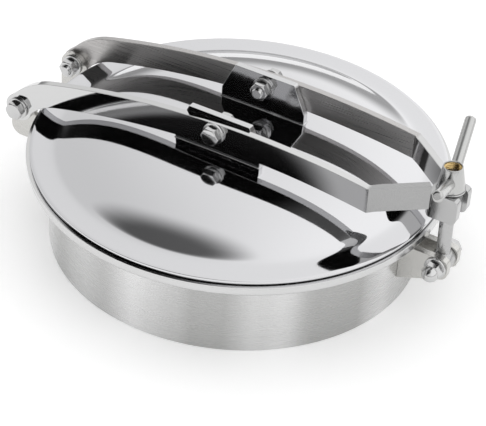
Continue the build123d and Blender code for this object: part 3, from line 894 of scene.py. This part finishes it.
# Up the outside: a rounded foot, the taper, a rounded top, and a mouth eased for the bush
boss_rows = (
    (BUSH_RADIUS, NUT_LOW),
    (BOSS_FOOT - 6 * HAIR, NUT_LOW),
    (BOSS_FOOT - 1.5 * HAIR, NUT_LOW + 2 * HAIR),
    (BOSS_FOOT, NUT_LOW + 7 * HAIR),
    (BOSS_TOP + 2.5 * HAIR, NUT_HIGH - 8 * HAIR),
    (BOSS_TOP, NUT_HIGH - 2 * HAIR),
    (BOSS_TOP - 4 * HAIR, NUT_HIGH),
    (BUSH_RADIUS + 4 * HAIR, NUT_HIGH),
    (BUSH_RADIUS, NUT_HIGH - 6 * HAIR),
)
boss = spun("nut_boss_detail", boss_rows, PIN, BOLT_AXIS, cast_satin, loop=True)
stand_for(boss, "nut_boss", "hand_nut")
for node in ("handle_rod_1", "handle_rod_2"):
    dress(node, cast_satin)

# Turned brass is a pale warm yellow that deepens inside the bore
turned_brass = bright_steel(
    "turned_brass",
    "cdb27c",
    smooth=0.2,
    dull=0.34,
    grain_size=0.0015,
    relief_strength=0.05,
)
bush_top = NUT_HIGH - BUSH_RECESS
count = round((bush_top - NUT_LOW) / SWING_PITCH * ROWS_PER_PITCH)
thread = np.linspace(bush_top - BUSH_LEAD_IN, NUT_LOW + BUSH_LEAD_IN, count)
bush_rows = np.vstack(
    (
        (BUSH_RADIUS, NUT_LOW),
        (BUSH_RADIUS, bush_top),
        (BUSH_LIP, bush_top),
        np.column_stack((np.full(count, BUSH_BORE), thread)),
        (BUSH_LIP, NUT_LOW),
    )
)


def inner_thread(radius, height, t):
    """The bore's radius = crest + depth * (0.5 + 0.5 * cos(tau * height / pitch - t)), which
    climbs one pitch a turn as the bolt's thread does."""
    wave = 0.5 + 0.5 * np.cos(math.tau * (height / SWING_PITCH) - t)
    return np.where(radius < BUSH_BORE + 2 * HAIR, BUSH_CREST + THREAD_DEPTH * wave, radius)


bush = spun(
    "brass_insert_detail",
    bush_rows,
    PIN,
    BOLT_AXIS,
    turned_brass,
    steps=72,
    loop=True,
    reshape=inner_thread,
)
stand_for(bush, "brass_insert", "hand_nut")


# ---------------------------------------------------------------- floor
# A plain matt white floor. It glows a little to the eye and in the metal, so it reads as white
# there, and it keeps the object's shadow.
FLOOR_HALF = 8
FLOOR_Z = -0.0004
FLOOR_GLOW = 0.16
WHITE = (1.0, 1.0, 1.0, 1.0)

floor_corners = [
    (-FLOOR_HALF, -FLOOR_HALF, FLOOR_Z),
    (FLOOR_HALF, -FLOOR_HALF, FLOOR_Z),
    (FLOOR_HALF, FLOOR_HALF, FLOOR_Z),
    (-FLOOR_HALF, FLOOR_HALF, FLOOR_Z),
]
floor_mesh = bpy.data.meshes.new("studio_floor")
floor_mesh.from_pydata(floor_corners, [], [(0, 1, 2, 3)])
studio_floor = bpy.data.objects.new("studio_floor", floor_mesh)
bpy.context.scene.collection.objects.link(studio_floor)
floor_paint, tree, shader, _ = start_finish("matt_white_floor", 0.0)
shader.inputs["Base Color"].default_value = WHITE
shader.inputs["Roughness"].default_value = 1.0
shader.inputs["Specular IOR Level"].default_value = 0.0
shader.inputs["Emission Color"].default_value = WHITE
seen = add_node(tree, "ShaderNodeLightPath").outputs
seen_or_mirrored = add_node(
    tree,
    "ShaderNodeMath",
    {0: seen["Is Camera Ray"], 1: seen["Is Glossy Ray"]},
    operation="MAXIMUM",
)
any_view = add_node(
    tree,
    "ShaderNodeMath",
    {0: seen_or_mirrored.outputs[0], 1: seen["Is Transmission Ray"]},
    operation="MAXIMUM",
)
glow = add_node(
    tree, "ShaderNodeMath", {0: any_view.outputs[0], 1: FLOOR_GLOW}, operation="MULTIPLY"
)
tree.links.new(glow.outputs[0], shader.inputs["Emission Strength"])
floor_mesh.materials.append(floor_paint)


# ---------------------------------------------------------------- light
# An even white sky lights the object. What the metal mirrors is brighter on the right, with a
# dark screen low on the left, another overhead and a darker horizon.
HEADING = math.radians(27.5)
TO_THE_RIGHT = (math.cos(HEADING), math.sin(HEADING), 0.0)
# For each shade: where it lies, the cosines it changes between, and its level before and after
SKY_SHADES = (
    (TO_THE_RIGHT, -0.5, 0.5, 0.84, 1.30),
    ((-0.52, -0.62, 0.58), 0.84, 0.94, 1.0, 0.015),
    ((-0.307, -0.384, 0.87), 0.77, 0.88, 1.0, 0.14),
    ((0.0, 0.0, 1.0), 0.05, 0.22, 0.40, 1.0),
)

sky = bpy.data.worlds.new("studio_sky")
bpy.context.scene.world = sky
sky.use_nodes = True
tree = sky.node_tree
direction = add_node(tree, "ShaderNodeTexCoord").outputs["Generated"]
level = 1.0
for towards, start, end, before, after in SKY_SHADES:
    cosine = add_node(
        tree,
        "ShaderNodeVectorMath",
        {0: direction, 1: Vector(towards).normalized()},
        operation="DOT_PRODUCT",
    )
    shade = add_node(
        tree,
        "ShaderNodeMapRange",
        {
            "Value": cosine.outputs["Value"],
            "From Min": start,
            "From Max": end,
            "To Min": before,
            "To Max": after,
        },
        interpolation_type="SMOOTHSTEP",
    )
    level = add_node(
        tree, "ShaderNodeMath", {0: level, 1: shade.outputs["Result"]}, operation="MULTIPLY"
    ).outputs[0]
seen = add_node(tree, "ShaderNodeLightPath").outputs
mirrored = add_node(
    tree,
    "ShaderNodeMath",
    {0: seen["Is Glossy Ray"], 1: seen["Is Transmission Ray"]},
    operation="MAXIMUM",
)
strength = add_node(
    tree,
    "ShaderNodeMix",
    {"Factor": mirrored.outputs[0], "A": 1.0, "B": level},
    data_type="FLOAT",
)
background = tree.nodes["Background"]
background.inputs["Color"].default_value = WHITE
tree.links.new(strength.outputs["Result"], background.inputs["Strength"])
bpy.context.scene.view_settings.view_transform = "Standard"


# ---------------------------------------------------------------- camera
# A long lens looks down on the clamp side of the cover from two metres off, turned a little
# about its own axis.
CAMERA_RISE = math.radians(37.0)
CAMERA_ROLL = math.radians(4.2)
CAMERA_DISTANCE = 2.0332
CAMERA_TARGET = Vector((0.00692, 0.00360, 0.0214))

outward = Vector(
    (
        math.sin(HEADING) * math.cos(CAMERA_RISE),
        -math.cos(HEADING) * math.cos(CAMERA_RISE),
        math.sin(CAMERA_RISE),
    )
)
camera_data = bpy.data.cameras.new("camera")
camera_data.sensor_width = 36.0
camera_data.lens = 139.85
camera = bpy.data.objects.new("camera", camera_data)
bpy.context.scene.collection.objects.link(camera)
camera.location = CAMERA_TARGET + outward * CAMERA_DISTANCE
camera.rotation_mode = "QUATERNION"
camera.rotation_quaternion = (-outward).to_track_quat("-Z", "Y") @ Quaternion(
    (0, 0, 1), CAMERA_ROLL
)
bpy.context.scene.camera = camera
